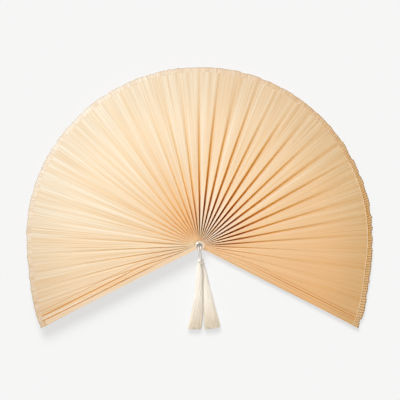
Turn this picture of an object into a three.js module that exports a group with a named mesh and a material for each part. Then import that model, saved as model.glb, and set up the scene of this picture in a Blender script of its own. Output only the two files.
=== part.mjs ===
// A folding hand fan of split bamboo with a pleated splint leaf, a hollow rivet and two cord tassels.
// Sizes are millimetres and angles are degrees. The fan lies open on its back: +Z runs up the rivet and
// faces the viewer, +Y points from the rivet to the middle of the leaf, and +X is the viewer's right.
// The origin is the middle of the rivet's flat back. Angles are counted from +X towards +Y.
import * as THREE from 'three';

// Sticks: two guards with thin ribs between them, one above the other on the rivet.
const RIB_COUNT = 36;
const OPEN_START_ANGLE = -26.6;
const OPEN_END_ANGLE = 206.6;
const END_CROWDING_SHARE = 0.4;
const CROWDING_REACH_COUNT = 2.5;
const RIB_THICKNESS = 0.25;
const RIB_NECK_HALF_WIDTH = 1.6;
const RIB_TIP_HALF_WIDTH = 2.3;
const GUARD_THICKNESS = 1.6;
const GUARD_NECK_HALF_WIDTH = 2.6;
const GUARD_TIP_HALF_WIDTH = 3;
const HEAD_RADIUS = 6.4;
const TIP_CORNER = 1;
const LAYER_GAP = 0.06;
const HOLE_SIDES = 8;
const HEAD_SIDES = 10;

// Leaf: one pleated sheet from guard to guard, glued on the sticks and bound along its rim.
const LEAF_INNER_RADIUS = 11;
const RIM_RADIUS = 229.4;
const RIM_DRAW_IN = 8.4;
const RIM_DRAW_IN_ANGLE = 96;
const RIM_FADE_ANGLE = 26;
const LEAF_THICKNESS = 0.3;
const LEAF_GAP = 0.3;
const LEAF_OVERHANG = 0.8;
const RISER_SHARE = 0.16;
const FALL_SHARE = 0.27;
const PLEAT_DEPTH_INNER = 0.5;
const PLEAT_DEPTH_MIDDLE = 5.5;
const PLEAT_DEPTH_RIM = 0.6;
const DEEP_START_RADIUS = 38;
const DEEP_END_RADIUS = 45;
const STRETCHED_RADIUS = 200;
const SHALLOW_DEPTH_SHARE = 0.5;
const SHALLOW_START_STICK = 17;
const SHALLOW_FULL_STICK = 21;
const RIM_DROOP = 2;
const CROWDED_DEPTH_POWER = 2;
const SEAT_START_PITCH = 5.5;
const SEAT_FULL_PITCH = 12;
const SEAT_CLEARANCE = 0.6;
const LEAF_RINGS = 12;
const LEAF_RING_POWER = 1.6;

// Rim binding: a tape folded over the leaf's edge.
const BINDING_WIDTH = 6.2;
const BINDING_THICKNESS = 0.3;
const BINDING_GAP = 0.1;
const STICK_TIP_GAP = 1;

// Rivet: a hollow post with a flat head behind, and a ring rolled over it in front.
const POST_RADIUS = 2.4;
const POST_BORE = 1.9;
const POST_FLOOR = 2;
const POST_CLEARANCE = 0.1;
const RIVET_HEAD_RADIUS = 4.8;
const RIVET_HEAD_THICKNESS = 1;
const WASHER_RADIUS = 5.4;
const WASHER_THICKNESS = 0.4;
const SPACER_RADIUS = 5.6;
const SPACER_THICKNESS = 3.8;
const RING_RADIUS = 4.9;
const RING_THICKNESS = 1.2;
const RING_CLEARANCE = 0.05;
const ROUND_SIDES = 24;

// Tassels: a cord out of the rivet, a knob, a bound neck and a skirt of yarn.
const CORD_RADIUS = 0.6;
const CORD_SIDES = 8;
const CORD_STEPS = 18;
const CORD_SIDE_OFFSET = 0.95;
const KNOB_RADIUS = 2.7;
const KNOB_LENGTH = 4.6;
const NECK_RADIUS = 2.1;
const NECK_LENGTH = 4.2;
const COLLAR_THICKNESS = 0.7;
const COLLAR_LENGTH = 3.2;
const SKIRT_SHOULDER = 3;
const SKIRT_LENGTH = 80;
const SKIRT_ROWS = 5;
const SKIRT_SPREAD_POWER = 1.35;
const SKIRT_TOP_HALF_WIDTH = 4;
const SKIRT_TOP_HALF_DEPTH = 2.9;
const SKIRT_END_HALF_DEPTH = 3.6;
const TASSEL_HEAD_DISTANCE = 17.5;
const TASSEL_PIECE_GAP = 0.3;
const TASSEL_SIDES = 16;
const LEFT_TASSEL = {
  name: 'left',
  side: -1,
  leanAngle: -0.5,
  tiltAngle: 4.2,
  headHeight: 10.5,
  endHalfWidth: 9,
  endShift: -5.2,
};
const RIGHT_TASSEL = {
  name: 'right',
  side: 1,
  leanAngle: 8.6,
  tiltAngle: 0,
  headHeight: 4,
  endHalfWidth: 11,
  endShift: 1,
};

const BAMBOO = { color: 0xf0d3a2, roughness: 0.55, metalness: 0 };
const SPLINT_LEAF = { color: 0xf7deb8, roughness: 0.7, metalness: 0 };
const BINDING_TAPE = { color: 0xecd0a2, roughness: 0.8, metalness: 0 };
const PLATED_STEEL = { color: 0xc8c5c0, roughness: 0.3, metalness: 1 };
const COTTON_YARN = { color: 0xf3e7d3, roughness: 0.9, metalness: 0 };

const fan = new THREE.Group();

function radians(degrees) {
  return THREE.MathUtils.degToRad(degrees);
}

// Adds one named piece of the fan to its group.
function addPiece(name, geometry, finish, parent = fan) {
  const mesh = new THREE.Mesh(geometry, new THREE.MeshStandardMaterial(finish));
  mesh.name = name;
  parent.add(mesh);
  return mesh;
}

// Heights up the rivet, each resting on the one below.
const STICK_PITCH = RIB_THICKNESS + LAYER_GAP;
const REAR_WASHER_Z = RIVET_HEAD_THICKNESS + LAYER_GAP;
const REAR_GUARD_Z = REAR_WASHER_Z + WASHER_THICKNESS + LAYER_GAP;
const REAR_GUARD_TOP = REAR_GUARD_Z + GUARD_THICKNESS;
const RIBS_TOP = REAR_GUARD_TOP + RIB_COUNT * STICK_PITCH;
const SPACER_Z = RIBS_TOP + LAYER_GAP;
const FRONT_GUARD_Z = SPACER_Z + SPACER_THICKNESS + LAYER_GAP;
const FRONT_WASHER_Z = FRONT_GUARD_Z + GUARD_THICKNESS + LAYER_GAP;
const RING_Z = FRONT_WASHER_Z + WASHER_THICKNESS + LAYER_GAP;
const RING_TOP = RING_Z + RING_THICKNESS;

// The sticks' angles: even in the middle and crowded towards the two guards.
const STICK_COUNT = RIB_COUNT + 2;
const spacings = Array.from({ length: STICK_COUNT - 1 }, (_, gap) => {
  const fromEnd = Math.min(gap, STICK_COUNT - 2 - gap);
  return 1 - END_CROWDING_SHARE * Math.exp(-fromEnd / CROWDING_REACH_COUNT);
});
const spacingSum = spacings.reduce((sum, spacing) => sum + spacing, 0);
const stickAngles = [OPEN_START_ANGLE];
for (const spacing of spacings) {
  const step = ((OPEN_END_ANGLE - OPEN_START_ANGLE) * spacing) / spacingSum;
  stickAngles.push(stickAngles[stickAngles.length - 1] + step);
}

const WIDEST_OPENING = ((OPEN_END_ANGLE - OPEN_START_ANGLE) * Math.max(...spacings)) / spacingSum;

// The rim's radius at an angle: the leaf draws in at the sides and runs out again at the two guards.
const MIDDLE_ANGLE = (OPEN_START_ANGLE + OPEN_END_ANGLE) / 2;
function rimRadius(angle) {
  const away = Math.abs(angle - MIDDLE_ANGLE);
  const rise = Math.min(away / RIM_DRAW_IN_ANGLE, 1) ** 2;
  const fade = Math.max(away - RIM_DRAW_IN_ANGLE, 0) / RIM_FADE_ANGLE;
  return RIM_RADIUS - RIM_DRAW_IN * rise * Math.cos(Math.min(fade, 1) * (Math.PI / 2)) ** 2;
}

// A stick along +X: a round head with the rivet's hole, and a blade that widens to a cut-cornered tip.
function stickGeometry(length, neckHalfWidth, tipHalfWidth, thickness) {
  const neckAngle = Math.asin(neckHalfWidth / HEAD_RADIUS);
  const outline = new THREE.Shape();
  for (let side = 0; side <= HEAD_SIDES; side += 1) {
    const turn = neckAngle + ((2 * Math.PI - 2 * neckAngle) * side) / HEAD_SIDES;
    const x = HEAD_RADIUS * Math.cos(turn);
    const y = HEAD_RADIUS * Math.sin(turn);
    if (side === 0) outline.moveTo(x, y);
    else outline.lineTo(x, y);
  }
  outline.lineTo(length - TIP_CORNER, -tipHalfWidth);
  outline.lineTo(length, TIP_CORNER - tipHalfWidth);
  outline.lineTo(length, tipHalfWidth - TIP_CORNER);
  outline.lineTo(length - TIP_CORNER, tipHalfWidth);
  outline.closePath();
  const holeRadius = (POST_RADIUS + POST_CLEARANCE) / Math.cos(Math.PI / HOLE_SIDES);
  const hole = new THREE.Path();
  for (let side = 0; side < HOLE_SIDES; side += 1) {
    const turn = (-2 * Math.PI * side) / HOLE_SIDES;
    const x = holeRadius * Math.cos(turn);
    const y = holeRadius * Math.sin(turn);
    if (side === 0) hole.moveTo(x, y);
    else hole.lineTo(x, y);
  }
  hole.closePath();
  outline.holes.push(hole);
  return new THREE.ExtrudeGeometry(outline, { depth: thickness, bevelEnabled: false });
}

function stickLength(angle) {
  return rimRadius(angle) - BINDING_WIDTH - STICK_TIP_GAP;
}

function addStick(name, index, z, neckHalfWidth, tipHalfWidth, thickness) {
  const angle = stickAngles[index];
  const geometry = stickGeometry(stickLength(angle), neckHalfWidth, tipHalfWidth, thickness);
  const stick = addPiece(name, geometry, BAMBOO);
  stick.position.z = z;
  stick.rotation.z = radians(angle);
}

function addSticks() {
  addStick('guard_rear', 0, REAR_GUARD_Z, GUARD_NECK_HALF_WIDTH, GUARD_TIP_HALF_WIDTH, GUARD_THICKNESS);
  for (let rib = 1; rib <= RIB_COUNT; rib += 1) {
    const z = REAR_GUARD_TOP + (rib - 1) * STICK_PITCH + LAYER_GAP;
    const name = `rib_${String(rib).padStart(2, '0')}`;
    addStick(name, rib, z, RIB_NECK_HALF_WIDTH, RIB_TIP_HALF_WIDTH, RIB_THICKNESS);
  }
  const last = STICK_COUNT - 1;
  addStick('guard_front', last, FRONT_GUARD_Z, GUARD_NECK_HALF_WIDTH, GUARD_TIP_HALF_WIDTH, GUARD_THICKNESS);
}

// A place across the leaf is a stick number, with halves between two sticks.
function angleAt(place) {
  const below = THREE.MathUtils.clamp(Math.floor(place), 0, STICK_COUNT - 2);
  return THREE.MathUtils.lerp(stickAngles[below], stickAngles[below + 1], place - below);
}

function smooth(value, start, end) {
  return THREE.MathUtils.smoothstep(value, start, end);
}

// How far the valleys lie below the bands. They are shallow at the rivet, at the stretched rim and at the left.
function pleatDepth(place, radius) {
  const risen = smooth(radius, LEAF_INNER_RADIUS, DEEP_START_RADIUS);
  const stretched = smooth(radius, DEEP_END_RADIUS, STRETCHED_RADIUS);
  const shallow = smooth(place, SHALLOW_START_STICK, SHALLOW_FULL_STICK);
  const deepest = THREE.MathUtils.lerp(PLEAT_DEPTH_INNER, PLEAT_DEPTH_MIDDLE, risen);
  const depth = THREE.MathUtils.lerp(deepest, PLEAT_DEPTH_RIM, stretched);
  return depth * THREE.MathUtils.lerp(1, SHALLOW_DEPTH_SHARE, shallow);
}

// The underside of the leaf. Near the rivet, where the sticks crowd, it is lifted clear over them,
// and further out its bands lie on the sticks and its valleys hang between them. Narrow pleats are shallow.
function leafHeight(station, radius) {
  const rim = rimRadius(angleAt(station.place));
  const droop = RIM_DROOP * smooth(radius, rim - BINDING_WIDTH, rim);
  if (station.underGuard) return FRONT_GUARD_Z - LEAF_GAP - LEAF_THICKNESS - droop;
  const below = THREE.MathUtils.clamp(Math.floor(station.place), 0, STICK_COUNT - 2);
  const opening = stickAngles[below + 1] - stickAngles[below];
  const crowding = (opening / WIDEST_OPENING) ** CROWDED_DEPTH_POWER;
  const depth = pleatDepth(station.place, radius) * crowding;
  const seated = smooth(radius * radians(opening), SEAT_START_PITCH, SEAT_FULL_PITCH);
  const lift = (1 - seated) * (depth + SEAT_CLEARANCE);
  const onStick = REAR_GUARD_TOP + STICK_PITCH * station.place + LEAF_GAP;
  return onStick + lift - (station.valley ? depth : 0) - droop;
}

// The fold lines from the rear guard to the front one: a steep riser, a band on the stick and a longer fall.
function leafStations() {
  const overhang = THREE.MathUtils.radToDeg(GUARD_TIP_HALF_WIDTH + LEAF_OVERHANG) / RIM_RADIUS;
  const endShare = overhang / (stickAngles[1] - stickAngles[0]);
  const last = STICK_COUNT - 1;
  const stations = [];
  for (let stick = 0; stick <= last; stick += 1) {
    const bandStart = stick === 0 ? -endShare : stick - 1 / 2 + RISER_SHARE;
    const bandEnd = stick === last ? last + endShare : stick + 1 / 2 - FALL_SHARE;
    const underGuard = stick === last;
    stations.push({ place: bandStart, valley: false, underGuard });
    stations.push({ place: bandEnd, valley: false, underGuard });
    if (stick < last) stations.push({ place: stick + 1 / 2, valley: true, underGuard: false });
  }
  return stations;
}

// A closed solid swept from section to section, each a ring of the same number of points. The second half
// of a ring runs back over the first, and its faces are split the other way, so that the two stay parallel.
function sweptSolid(sections) {
  const size = sections[0].length;
  const last = sections.length - 1;
  const index = [];
  for (let section = 0; section < last; section += 1) {
    for (let corner = 0; corner < size; corner += 1) {
      const next = (corner + 1) % size;
      const a = section * size + corner;
      const b = section * size + next;
      if (corner < size / 2) index.push(a, a + size, b, b, a + size, b + size);
      else index.push(a, a + size, b + size, a, b + size, b);
    }
  }
  const flat = sections.map((points) => points.map((point) => new THREE.Vector2(point.radius, point.z)));
  for (const [a, b, c] of THREE.ShapeUtils.triangulateShape(flat[0], [])) index.push(a, b, c);
  for (const [a, b, c] of THREE.ShapeUtils.triangulateShape(flat[last], [])) {
    index.push(last * size + c, last * size + b, last * size + a);
  }
  const positions = sections.flat().flatMap(({ angle, radius, z }) => {
    const turn = radians(angle);
    return [radius * Math.cos(turn), radius * Math.sin(turn), z];
  });
  const geometry = new THREE.BufferGeometry();
  geometry.setAttribute('position', new THREE.Float32BufferAttribute(positions, 3));
  geometry.setIndex(index);
  return geometry;
}

// The leaf's section at a fold line runs out along its underside and back along its top.
function leafSection(station) {
  const angle = angleAt(station.place);
  const rim = rimRadius(angle);
  const bound = rim - BINDING_WIDTH;
  const underside = Array.from({ length: LEAF_RINGS }, (_, ring) => {
    const share = (ring / (LEAF_RINGS - 1)) ** LEAF_RING_POWER;
    const radius = THREE.MathUtils.lerp(LEAF_INNER_RADIUS, bound, share);
    return { angle, radius, z: leafHeight(station, radius) };
  });
  underside.push({ angle, radius: rim, z: leafHeight(station, rim) });
  const top = underside.map(({ radius, z }) => ({ angle, radius, z: z + LEAF_THICKNESS })).reverse();
  return [...underside, ...top];
}

// The binding's section is a U that holds the leaf's edge.
function bindingSection(station) {
  const angle = angleAt(station.place);
  const inner = rimRadius(angle) - BINDING_WIDTH + BINDING_GAP;
  const fold = rimRadius(angle) + BINDING_GAP;
  const outer = fold + BINDING_THICKNESS;
  const lower = leafHeight(station, fold) - BINDING_GAP;
  const upper = lower + LEAF_THICKNESS + 2 * BINDING_GAP;
  const raised = leafHeight(station, inner) - leafHeight(station, fold);
  return [
    { angle, radius: inner, z: lower - BINDING_THICKNESS + raised },
    { angle, radius: outer, z: lower - BINDING_THICKNESS },
    { angle, radius: outer, z: upper + BINDING_THICKNESS },
    { angle, radius: inner, z: upper + BINDING_THICKNESS + raised },
    { angle, radius: inner, z: upper + raised },
    { angle, radius: fold, z: upper },
    { angle, radius: fold, z: lower },
    { angle, radius: inner, z: lower + raised },
  ];
}

function addLeaf() {
  const stations = leafStations();
  addPiece('leaf', sweptSolid(stations.map(leafSection)), SPLINT_LEAF);
  addPiece('rim_binding', sweptSolid(stations.map(bindingSection)), BINDING_TAPE);
}

// A round piece about +Z from its half section, given as [radius, z] corners going up its outside.
function roundGeometry(corners, sides) {
  const profile = corners.map(([radius, z]) => new THREE.Vector2(radius, z));
  return new THREE.LatheGeometry(profile, sides).rotateX(Math.PI / 2);
}

// A flat ring about +Z, standing on z.
function ringGeometry(innerRadius, outerRadius, z, thickness) {
  const corners = [
    [innerRadius, z],
    [outerRadius, z],
    [outerRadius, z + thickness],
    [innerRadius, z + thickness],
    [innerRadius, z],
  ];
  return roundGeometry(corners, ROUND_SIDES);
}

function addRivet() {
  const post = [
    [0, 0],
    [RIVET_HEAD_RADIUS, 0],
    [RIVET_HEAD_RADIUS, RIVET_HEAD_THICKNESS],
    [POST_RADIUS, RIVET_HEAD_THICKNESS],
    [POST_RADIUS, RING_TOP],
    [POST_BORE, RING_TOP],
    [POST_BORE, POST_FLOOR],
    [0, POST_FLOOR],
  ];
  addPiece('rivet_post', roundGeometry(post, ROUND_SIDES), PLATED_STEEL);
  const bore = POST_RADIUS + POST_CLEARANCE;
  const washer = (z) => ringGeometry(bore, WASHER_RADIUS, z, WASHER_THICKNESS);
  addPiece('rear_washer', washer(REAR_WASHER_Z), PLATED_STEEL);
  addPiece('front_washer', washer(FRONT_WASHER_Z), PLATED_STEEL);
  addPiece('spacer', ringGeometry(bore, SPACER_RADIUS, SPACER_Z, SPACER_THICKNESS), BAMBOO);
  const round = RING_THICKNESS / 2;
  const ringBore = POST_RADIUS + RING_CLEARANCE;
  const ring = [
    [ringBore, RING_Z],
    [RING_RADIUS - round / 2, RING_Z],
    [RING_RADIUS, RING_Z + round],
    [RING_RADIUS - round, RING_TOP],
    [ringBore, RING_TOP],
    [ringBore, RING_Z],
  ];
  addPiece('rivet_ring', roundGeometry(ring, ROUND_SIDES), PLATED_STEEL);
}

// The cord's route: up the rivet's bore, over the ring and down to the tassel's knob.
function cordPath(tassel) {
  const over = RING_TOP + CORD_RADIUS + TASSEL_PIECE_GAP;
  const side = tassel.side * CORD_SIDE_OFFSET;
  const lean = radians(tassel.leanAngle);
  const out = TASSEL_HEAD_DISTANCE - TASSEL_PIECE_GAP;
  const end = new THREE.Vector3(Math.sin(lean) * out, -Math.cos(lean) * out, tassel.headHeight);
  const drop = over - tassel.headHeight;
  const along = (share, fall) => new THREE.Vector3(
    THREE.MathUtils.lerp(side, end.x, share),
    end.y * share,
    over - drop * fall,
  );
  return new THREE.CatmullRomCurve3([
    new THREE.Vector3(side, 0, POST_FLOOR + TASSEL_PIECE_GAP),
    new THREE.Vector3(side, 0, RING_Z / 2),
    new THREE.Vector3(side, 0, RING_Z),
    along(0.12, -0.1),
    along(0.3, -0.08),
    along(0.46, 0.17),
    along(0.64, 0.55),
    along(0.82, 0.87),
    end,
  ]);
}

function cordGeometry(tassel) {
  const section = new THREE.Shape();
  section.absarc(0, 0, CORD_RADIUS, 0, 2 * Math.PI);
  return new THREE.ExtrudeGeometry(section, {
    steps: CORD_STEPS,
    curveSegments: CORD_SIDES / 2,
    bevelEnabled: false,
    extrudePath: cordPath(tassel),
  });
}

// A piece of a tassel: a half section turned about the tassel's own line, which runs down -Y from 0.
function tasselGeometry(corners) {
  const profile = corners.map(([radius, down]) => new THREE.Vector2(radius, -down));
  return new THREE.LatheGeometry(profile.reverse(), TASSEL_SIDES);
}

// The skirt widens and flattens on its way down, and its end swings to one side.
function skirtGeometry(start, endHalfWidth, endShift) {
  const inNeck = start - NECK_LENGTH;
  const shoulder = start + SKIRT_SHOULDER;
  const end = start + SKIRT_LENGTH;
  const rows = Array.from({ length: SKIRT_ROWS + 1 }, (_, row) => {
    const share = row / SKIRT_ROWS;
    const width = THREE.MathUtils.lerp(SKIRT_TOP_HALF_WIDTH, endHalfWidth, share ** SKIRT_SPREAD_POWER);
    return [width, THREE.MathUtils.lerp(shoulder, end, share)];
  });
  const neck = [[0, inNeck], [NECK_RADIUS, inNeck], [NECK_RADIUS, start]];
  const geometry = tasselGeometry([...neck, ...rows, [0, end]]);
  const place = geometry.getAttribute('position');
  for (let corner = 0; corner < place.count; corner += 1) {
    const share = (-place.getY(corner) - start) / SKIRT_LENGTH;
    if (share > 0) {
      const width = THREE.MathUtils.lerp(SKIRT_TOP_HALF_WIDTH, endHalfWidth, share ** SKIRT_SPREAD_POWER);
      const depth = THREE.MathUtils.lerp(SKIRT_TOP_HALF_DEPTH, SKIRT_END_HALF_DEPTH, share);
      place.setX(corner, place.getX(corner) + endShift * share ** 3);
      place.setZ(corner, (place.getZ(corner) * depth) / width);
    }
  }
  return geometry;
}

function addTassel(tassel) {
  addPiece(`tassel_cord_${tassel.name}`, cordGeometry(tassel), COTTON_YARN);
  const hanging = new THREE.Group();
  const lean = radians(tassel.leanAngle);
  hanging.position.set(
    Math.sin(lean) * TASSEL_HEAD_DISTANCE,
    -Math.cos(lean) * TASSEL_HEAD_DISTANCE,
    tassel.headHeight,
  );
  hanging.rotation.set(radians(tassel.tiltAngle), 0, lean, 'ZXY');
  fan.add(hanging);
  const knob = Array.from({ length: CORD_SIDES + 1 }, (_, step) => {
    const turn = (Math.PI * step) / CORD_SIDES;
    const radius = step % CORD_SIDES === 0 ? 0 : KNOB_RADIUS * Math.sin(turn);
    return [radius, (KNOB_LENGTH * (1 - Math.cos(turn))) / 2];
  });
  addPiece(`tassel_knob_${tassel.name}`, tasselGeometry(knob), COTTON_YARN, hanging);
  const neckStart = KNOB_LENGTH + TASSEL_PIECE_GAP;
  const skirtStart = neckStart + NECK_LENGTH;
  const collarStart = neckStart + (NECK_LENGTH - COLLAR_LENGTH) / 2;
  const collarBore = NECK_RADIUS + TASSEL_PIECE_GAP / 2;
  const collar = [
    [collarBore, collarStart],
    [collarBore + COLLAR_THICKNESS, collarStart],
    [collarBore + COLLAR_THICKNESS, collarStart + COLLAR_LENGTH],
    [collarBore, collarStart + COLLAR_LENGTH],
    [collarBore, collarStart],
  ];
  addPiece(`tassel_collar_${tassel.name}`, tasselGeometry(collar), COTTON_YARN, hanging);
  const skirt = skirtGeometry(skirtStart, tassel.endHalfWidth, tassel.endShift);
  addPiece(`tassel_skirt_${tassel.name}`, skirt, COTTON_YARN, hanging);
}

addSticks();
addLeaf();
addRivet();
addTassel(LEFT_TASSEL);
addTassel(RIGHT_TASSEL);

export default fan;
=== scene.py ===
"""A folding hand fan of split bamboo, lying open on a white table: dressed in the frame of its CAD model.

Lengths are written in millimetres and angles in degrees. They are turned to metres and radians when a mesh or
a material is made. Only the sun's width and the angles of the yarns are written in radians.
"""
import math

import bpy
import numpy as np
from mathutils import Euler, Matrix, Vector


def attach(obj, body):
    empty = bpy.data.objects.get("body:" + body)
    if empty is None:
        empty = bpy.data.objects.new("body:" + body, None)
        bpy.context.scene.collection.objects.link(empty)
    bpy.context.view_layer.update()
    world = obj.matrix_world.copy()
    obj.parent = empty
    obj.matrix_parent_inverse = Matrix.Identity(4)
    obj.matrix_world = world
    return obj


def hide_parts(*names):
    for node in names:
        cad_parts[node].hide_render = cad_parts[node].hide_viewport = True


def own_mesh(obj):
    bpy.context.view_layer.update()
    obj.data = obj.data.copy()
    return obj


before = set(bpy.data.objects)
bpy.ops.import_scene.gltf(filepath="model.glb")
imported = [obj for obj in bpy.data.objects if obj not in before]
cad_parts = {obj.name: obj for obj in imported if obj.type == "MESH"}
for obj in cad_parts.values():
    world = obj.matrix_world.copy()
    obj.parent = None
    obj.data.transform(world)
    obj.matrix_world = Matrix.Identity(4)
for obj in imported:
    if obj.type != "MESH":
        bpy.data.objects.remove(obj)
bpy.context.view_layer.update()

# Camera and light. The fan was photographed from straight above on a white table, with one soft window at the
# upper left, near enough for the right side to fall off, and warm light that comes back from the room.
MM = 0.001
PHOTO_WIDTH = 516.8
PHOTO_CENTRE = (0.65, 58.8)
LEAF_MIDDLE_HEIGHT = 9
CAMERA_HEIGHT = 2400
SENSOR = 36
WINDOW_BEARING = 140
WINDOW_ELEVATION = 44
WINDOW_DISTANCE = 740
WINDOW_TARGET = (0, 70, 0)
WINDOW_SIZE = 170
WINDOW_POWER = 9.7
PALE_WINDOW_POWER = 4.1
ROOM_PLACE = (640, -60, 460)
ROOM_TARGET = (60, 60, 0)
ROOM_SIZE = 500
ROOM_POWER = 1.3
CEILING_PLACE = (0, 60, 1100)
CEILING_TARGET = (0, 60, 0)
CEILING_SIZE = 1200
CEILING_POWER = 8.4
PALE_CEILING_POWER = 8.0
TABLE_LIGHT_BEARING = 99
TABLE_LIGHT_ELEVATION = 50
TABLE_LIGHT_WIDTH = 0.5
TABLE_LIGHT_POWER = 3.47
WORLD_POWER = 0.17


def linear(code):
    """The linear colour of an sRGB hex code: each channel goes through the sRGB curve."""
    channels = [int(code[i : i + 2], 16) / 255 for i in (1, 3, 5)]
    curve = [c / 12.92 if c <= 0.04045 else ((c + 0.055) / 1.055) ** 2.4 for c in channels]
    return (*curve, 1)


def toward(bearing, elevation):
    """The unit vector of a bearing round from +X and an elevation above the table."""
    turn, rise = math.radians(bearing), math.radians(elevation)
    return Vector((math.cos(turn) * math.cos(rise), math.sin(turn) * math.cos(rise), math.sin(rise)))


def add_light(name, kind, place, target, size, power, colour):
    """A lamp at a place, turned to a target: an area lamp of a size, or a sun of a width in radians."""
    data = bpy.data.lights.new(name, kind)
    data.energy = power
    data.color = linear(colour)[:3]
    if kind == "SUN":
        data.angle = size
    else:
        data.size = size * MM
    light = bpy.data.objects.new(name, data)
    light.location = Vector(place) * MM
    light.rotation_euler = (Vector(target) - Vector(place)).to_track_quat("-Z", "Y").to_euler()
    bpy.context.scene.collection.objects.link(light)
    return light


camera_data = bpy.data.cameras.new("camera")
camera_data.sensor_width = SENSOR
camera_data.lens = SENSOR * (CAMERA_HEIGHT - LEAF_MIDDLE_HEIGHT) / PHOTO_WIDTH
camera = bpy.data.objects.new("camera", camera_data)
camera.location = (PHOTO_CENTRE[0] * MM, PHOTO_CENTRE[1] * MM, CAMERA_HEIGHT * MM)
bpy.context.scene.collection.objects.link(camera)
bpy.context.scene.camera = camera
bpy.context.scene.view_settings.view_transform = "Standard"

window_place = Vector(WINDOW_TARGET) + toward(WINDOW_BEARING, WINDOW_ELEVATION) * WINDOW_DISTANCE
from_window = ("AREA", window_place, WINDOW_TARGET, WINDOW_SIZE)
from_room = ("AREA", ROOM_PLACE, ROOM_TARGET, ROOM_SIZE)
from_ceiling = ("AREA", CEILING_PLACE, CEILING_TARGET, CEILING_SIZE)
sun_place = toward(TABLE_LIGHT_BEARING, TABLE_LIGHT_ELEVATION) * WINDOW_DISTANCE
from_sun = ("SUN", sun_place, (0, 0, 0), TABLE_LIGHT_WIDTH)
window = add_light("window", *from_window, WINDOW_POWER, "#9ac0ff")
room = add_light("room", *from_room, ROOM_POWER, "#ffb850")
ceiling = add_light("ceiling", *from_ceiling, CEILING_POWER, "#ffd96c")
pale_window = add_light("pale_window", *from_window, PALE_WINDOW_POWER, "#f8f6f6")
pale_ceiling = add_light("pale_ceiling", *from_ceiling, PALE_CEILING_POWER, "#fff4e8")
table_light = add_light("table_light", *from_sun, TABLE_LIGHT_POWER, "#ffffff")
world = bpy.data.worlds.new("room_light")
world.use_nodes = True
background = world.node_tree.nodes["Background"]
background.inputs["Color"].default_value = linear("#fff8f0")
background.inputs["Strength"].default_value = WORLD_POWER
bpy.context.scene.world = world

# Table top: a large, smooth, matt white sheet under the fan, a little below the rivet's head.
# Seen by the camera, or mirrored in the metal, it is an even white that takes a light shadow.
TABLE_HALF = 4000
TABLE_DROP = 3
SHADOW_SHARE = 0.25
finishes = {}


def new_finish(name):
    """A new material, kept under its name, whose empty node tree is given back."""
    material = bpy.data.materials.new(name)
    material.use_nodes = True
    material.node_tree.nodes.clear()
    finishes[name] = material
    return material.node_tree


def add_node(tree, kind, inputs=(), **settings):
    """Adds a node with its settings. Its inputs come in order, or by name or number.

    Each is linked to a socket, or to the first output in use of another node, or else set to a value, where a
    hex code gives its linear colour.
    """
    made = tree.nodes.new(kind)
    for name, value in settings.items():
        setattr(made, name, value)
    for key, value in inputs.items() if isinstance(inputs, dict) else enumerate(inputs):
        if isinstance(value, bpy.types.Node):
            value = next(socket for socket in value.outputs if socket.enabled)
        if isinstance(value, bpy.types.NodeSocket):
            tree.links.new(value, made.inputs[key])
        else:
            made.inputs[key].default_value = linear(value) if isinstance(value, str) else value
    return made


tree = new_finish("table_white")
shade = add_node(tree, "ShaderNodeBsdfDiffuse", {"Color": "#f4f4f4"})
even = add_node(tree, "ShaderNodeEmission", {"Color": "#f6f6f6"})
seen = add_node(tree, "ShaderNodeMixShader", [SHADOW_SHARE, even, shade])
rays = add_node(tree, "ShaderNodeLightPath").outputs
sight = rays["Is Camera Ray"]
for other in ("Is Glossy Ray", "Is Transmission Ray"):
    sight = add_node(tree, "ShaderNodeMath", [sight, rays[other]], operation="MAXIMUM")
top = add_node(tree, "ShaderNodeMixShader", [sight, shade, seen])
add_node(tree, "ShaderNodeOutputMaterial", {"Surface": top})
half, drop = TABLE_HALF * MM, -TABLE_DROP * MM
table_corners = [(-half, -half, drop), (half, -half, drop), (half, half, drop), (-half, half, drop)]
table_mesh = bpy.data.meshes.new("table")
table_mesh.from_pydata(table_corners, [], [(0, 1, 2, 3)])
table_mesh.materials.append(finishes["table_white"])
table = bpy.data.objects.new("table", table_mesh)
bpy.context.scene.collection.objects.link(table)

# Tassel cords: two ends of one twisted cotton cord that come up out of the hollow rivet and bend over its
# ring. Each runs down to its tassel, where it ends in a knot under the wound head.
RING_TOP = 21.52
RING_FLOOR = 20.32
CORD_RADIUS = 0.6
CORD_FILL = 0.92
CORD_OFFSET = 0.95
CORD_GAP = 0.3
CORD_FLOOR = 2.3
CORD_FALLS = ((0.12, -0.1), (0.3, -0.08), (0.46, 0.17), (0.64, 0.55), (0.82, 0.87))
CORD_STEPS = 90
CORD_SIDES = 14
CORD_PLIES = 3
CORD_PLY_DEPTH = 0.13
CORD_LAY = 4.2
HEAD_DISTANCE = 17.5
# For each tassel: its side of the bore, how it leans and tilts, how high its head lies, and the half width of
# its skirt and its shift sideways at the end.
TASSELS = {
    "left": {"side": -1, "lean": -0.5, "tilt": 4.2, "height": 10.5, "end": 9, "shift": -5.2},
    "right": {"side": 1, "lean": 8.6, "tilt": 0, "height": 4, "end": 11, "shift": 1},
}
ASKEW = (0.31, 0.17, 0.94)


def grid_faces(rows, columns, round_rows=False):
    """Quads of a grid of rows by columns, whose last row joins the first where it goes round."""
    row = np.arange(rows if round_rows else rows - 1)[:, None]
    column = np.arange(columns - 1)[None, :]
    a = row * columns + column
    b = ((row + 1) % rows) * columns + column
    return np.stack([a, b, b + 1, a + 1], axis=-1).reshape(-1, 4)


def capped_faces(rows, columns):
    """Faces of a grid that goes round, with its first and last column closed by one face each."""
    ends = np.arange(rows) * columns
    return [*grid_faces(rows, columns, True), ends[::-1], ends + columns - 1]


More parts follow.
